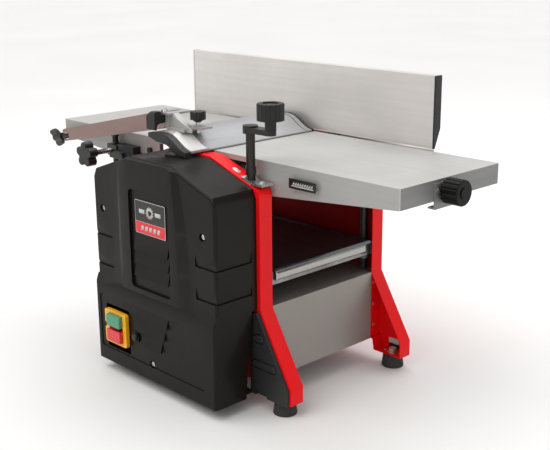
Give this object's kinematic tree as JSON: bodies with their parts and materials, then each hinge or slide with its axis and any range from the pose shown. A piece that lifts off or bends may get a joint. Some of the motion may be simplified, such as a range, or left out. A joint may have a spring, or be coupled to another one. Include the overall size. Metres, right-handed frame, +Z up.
{
  "type": "thickness planer",
  "caption": "Bench-top thickness planer and jointer with planing tables, tilting fence, bridge guard, crank-raised thickness bed, feed rollers and a belt-driven cutter block.",
  "frame": {"origin": "centre of the four bench-bolt holes, on the bench under the rubber feet", "axes": "+X from the outfeed table towards the infeed table, +Y from the operator's side with the motor cover towards the fence, +Z up; the cutter block's axis is parallel to Y, straight above the origin"},
  "size_m": [0.7826, 0.4235, 0.461],
  "materials": {
    "table_aluminium": "brushed, cast and surface ground",
    "fence_aluminium": "brushed extrusion",
    "red_paint": "semi-gloss powder coat",
    "grey_paint": "satin grey paint",
    "cover_plastic": "fine textured dark grey moulding",
    "badge": "printed panel, red below black, with no lettering",
    "switch_yellow": "moulded",
    "switch_black": "moulded",
    "start_green": "moulded",
    "stop_red": "moulded",
    "knob_plastic": "moulded, lightly grained",
    "black_steel": "black coated",
    "plated_steel": "zinc plated",
    "ground_steel": "ground and oiled",
    "polished_bed": "polished",
    "guard_aluminium": "pale anodised",
    "cast_aluminium": "as cast",
    "cast_iron": "painted dark grey",
    "gear_steel": "oiled",
    "rubber": "moulded"
  },
  "bodies": {
    "frame": {"side_panel_front": "red_paint", "side_panel_rear": "red_paint", "base_tray": "grey_paint", "feet": "rubber", "motor_cover": "cover_plastic", "cover_badge": "badge", "leg_covers": "cover_plastic", "rear_cover": "cover_plastic", "switch_body": "switch_black", "switch_frame": "switch_yellow", "cable_gland": "switch_black", "pins_and_bolts": "plated_steel", "outfeed_table": "table_aluminium", "depth_crossbar": "black_steel", "fence_bracket": "black_steel", "guard_bracket": "black_steel", "cutter_bearings": "ground_steel", "bearing_blocks": "cast_iron", "feed_chain": "gear_steel", "drive_belt": "rubber", "motor_body": "cast_iron", "lift_chain": "gear_steel", "screw_plates": "plated_steel"},
    "infeed": {"infeed_table": "table_aluminium", "infeed_bracket": "black_steel"},
    "depth": {"depth_knob": "knob_plastic"},
    "fence": {"fence": "fence_aluminium", "fence_caps": "cover_plastic", "fence_quadrant": "black_steel"},
    "fence_lock": {"fence_lock_lever": "knob_plastic"},
    "guard_mast": {"guard_post": "plated_steel", "guard_arm": "guard_aluminium"},
    "mast_lock": {"post_lock_knob": "knob_plastic"},
    "arm_lock": {"arm_lock_knob": "knob_plastic"},
    "guard_tilt": {"guard_head": "knob_plastic", "guard_holder": "plated_steel"},
    "guard_cover": {"guard": "guard_aluminium", "guard_caps": "cover_plastic"},
    "guard_clamp": {"guard_clamp_knob": "knob_plastic"},
    "cutter": {"cutter_block": "cast_aluminium", "knives": "ground_steel", "knife_wedges": "gear_steel"},
    "motor": {"motor_rotor": "gear_steel"},
    "gear_1": {"feed_gear_1": "gear_steel"},
    "gear_2": {"feed_gear_2": "gear_steel"},
    "gear_3": {"feed_gear_3": "gear_steel"},
    "roller_in": {"feed_roller_in": "gear_steel"},
    "roller_out": {"feed_roller_out": "ground_steel"},
    "pawls": {"kickback_pawls": "gear_steel"},
    "thickness_bed": {"bed": "cast_aluminium", "bed_plate": "polished_bed"},
    "crank": {"crank_screw": "black_steel", "crank_arm": "black_steel"},
    "screw_2": {"lift_screw_2": "gear_steel"},
    "screw_3": {"lift_screw_3": "gear_steel"},
    "screw_4": {"lift_screw_4": "gear_steel"},
    "crank_grip": {"crank_knob": "knob_plastic"},
    "start": {"start_button": "start_green"},
    "stop": {"stop_button": "stop_red"},
    "reset": {"reset_button": "switch_black"}
  },
  "joints": [
    {"name": "infeed_height", "type": "slide", "parent": "frame", "child": "infeed", "axis": [0, 0, 1], "range_m": [-0.003, 0]},
    {"name": "depth_turn", "type": "hinge", "parent": "infeed", "child": "depth", "pos_m": [0.38, -0.018, 0.34], "axis": [1, 0, 0], "range_deg": [0, 180]},
    {"name": "fence_tilt", "type": "hinge", "parent": "frame", "child": "fence", "pos_m": [-0.03, 0.1176, 0.36], "axis": [-1, 0, 0], "range_deg": [0, 45]},
    {"name": "fence_lock_turn", "type": "hinge", "parent": "frame", "child": "fence_lock", "pos_m": [-0.13, 0.16207, 0.35136], "axis": [1, 0, 0], "range_deg": [-60, 0]},
    {"name": "guard_height", "type": "slide", "parent": "frame", "child": "guard_mast", "axis": [0, 0, 1], "range_m": [0, 0.02]},
    {"name": "mast_lock_turn", "type": "hinge", "parent": "frame", "child": "mast_lock", "pos_m": [-0.209, -0.14, 0.325], "axis": [0, 1, 0], "range_deg": [-90, 0]},
    {"name": "arm_lock_turn", "type": "hinge", "parent": "guard_mast", "child": "arm_lock", "pos_m": [-0.34267, -0.121, 0.33028], "axis": [0.9803, 0, 0.1977], "range_deg": [-180, 180]},
    {"name": "guard_tilt_turn", "type": "hinge", "parent": "guard_mast", "child": "guard_tilt", "pos_m": [-0.07, -0.122, 0.3895], "axis": [0, -1, 0], "range_deg": [0, 15]},
    {"name": "guard_reach", "type": "slide", "parent": "guard_tilt", "child": "guard_cover", "axis": [0, -1, 0], "range_m": [0, 0.12]},
    {"name": "guard_clamp_turn", "type": "hinge", "parent": "guard_tilt", "child": "guard_clamp", "pos_m": [-0.01, -0.105, 0.4], "axis": [0, 0, 1], "range_deg": [-180, 180]},
    {"name": "cutter_spin", "type": "hinge", "parent": "frame", "child": "cutter", "pos_m": [0, 0, 0.33], "axis": [0, 1, 0], "continuous": true},
    {"name": "motor_spin", "type": "hinge", "parent": "frame", "child": "motor", "pos_m": [0, 0, 0.092], "axis": [0, 1, 0], "continuous": true},
    {"name": "gear_1_spin", "type": "hinge", "parent": "frame", "child": "gear_1", "pos_m": [-0.0204, 0.15, 0.3028], "axis": [0, 1, 0], "continuous": true},
    {"name": "gear_2_spin", "type": "hinge", "parent": "frame", "child": "gear_2", "pos_m": [0.0068, 0.16, 0.2824], "axis": [0, 1, 0], "continuous": true},
    {"name": "gear_3_spin", "type": "hinge", "parent": "frame", "child": "gear_3", "pos_m": [-0.0136, 0.15, 0.2552], "axis": [0, 1, 0], "continuous": true},
    {"name": "roller_in_spin", "type": "hinge", "parent": "frame", "child": "roller_in", "pos_m": [-0.052, 0, 0.317], "axis": [0, 1, 0], "continuous": true},
    {"name": "roller_out_spin", "type": "hinge", "parent": "frame", "child": "roller_out", "pos_m": [0.052, 0, 0.317], "axis": [0, 1, 0], "continuous": true},
    {"name": "pawl_swing", "type": "hinge", "parent": "frame", "child": "pawls", "pos_m": [-0.097, 0, 0.3245], "axis": [0, -1, 0], "range_deg": [0, 45]},
    {"name": "crank_turn", "type": "hinge", "parent": "frame", "child": "crank", "pos_m": [0.118, -0.1193, 0.3], "axis": [0, 0, 1], "range_deg": [-2880, 17640]},
    {"name": "bed_height", "type": "slide", "parent": "frame", "child": "thickness_bed", "axis": [0, 0, 1], "range_m": [-0.016, 0.098]},
    {"name": "screw_2_turn", "type": "hinge", "parent": "frame", "child": "screw_2", "pos_m": [0.118, 0.1193, 0.2], "axis": [0, 0, 1], "range_deg": [-2880, 17640]},
    {"name": "screw_3_turn", "type": "hinge", "parent": "frame", "child": "screw_3", "pos_m": [-0.118, -0.1193, 0.2], "axis": [0, 0, 1], "range_deg": [-2880, 17640]},
    {"name": "screw_4_turn", "type": "hinge", "parent": "frame", "child": "screw_4", "pos_m": [-0.118, 0.1193, 0.2], "axis": [0, 0, 1], "range_deg": [-2880, 17640]},
    {"name": "crank_grip_spin", "type": "hinge", "parent": "crank", "child": "crank_grip", "pos_m": [0.158, -0.1193, 0.42], "axis": [0, 0, 1], "continuous": true},
    {"name": "start_press", "type": "slide", "parent": "frame", "child": "start", "axis": [0, 1, 0], "range_m": [0, 0.003], "stiffness_N_per_m": 900},
    {"name": "stop_press", "type": "slide", "parent": "frame", "child": "stop", "axis": [0, 1, 0], "range_m": [0, 0.003], "stiffness_N_per_m": 900},
    {"name": "reset_press", "type": "slide", "parent": "frame", "child": "reset", "axis": [0, 1, 0], "range_m": [0, 0.0025], "stiffness_N_per_m": 900}
  ],
  "couplings": [
    {"joint": "depth_turn", "follows": "infeed_height", "rad_per_m": -1047.2},
    {"joint": "motor_spin", "follows": "cutter_spin", "ratio": 0.8},
    {"joint": "gear_1_spin", "follows": "cutter_spin", "ratio": -0.30769},
    {"joint": "gear_2_spin", "follows": "cutter_spin", "ratio": 0.094675},
    {"joint": "gear_3_spin", "follows": "cutter_spin", "ratio": -0.029131},
    {"joint": "roller_in_spin", "follows": "cutter_spin", "ratio": -0.012138},
    {"joint": "roller_out_spin", "follows": "cutter_spin", "ratio": -0.012138},
    {"joint": "crank_turn", "follows": "bed_height", "rad_per_m": 3141.6},
    {"joint": "screw_2_turn", "follows": "bed_height", "rad_per_m": 3141.6},
    {"joint": "screw_3_turn", "follows": "bed_height", "rad_per_m": 3141.6},
    {"joint": "screw_4_turn", "follows": "bed_height", "rad_per_m": 3141.6}
  ]
}
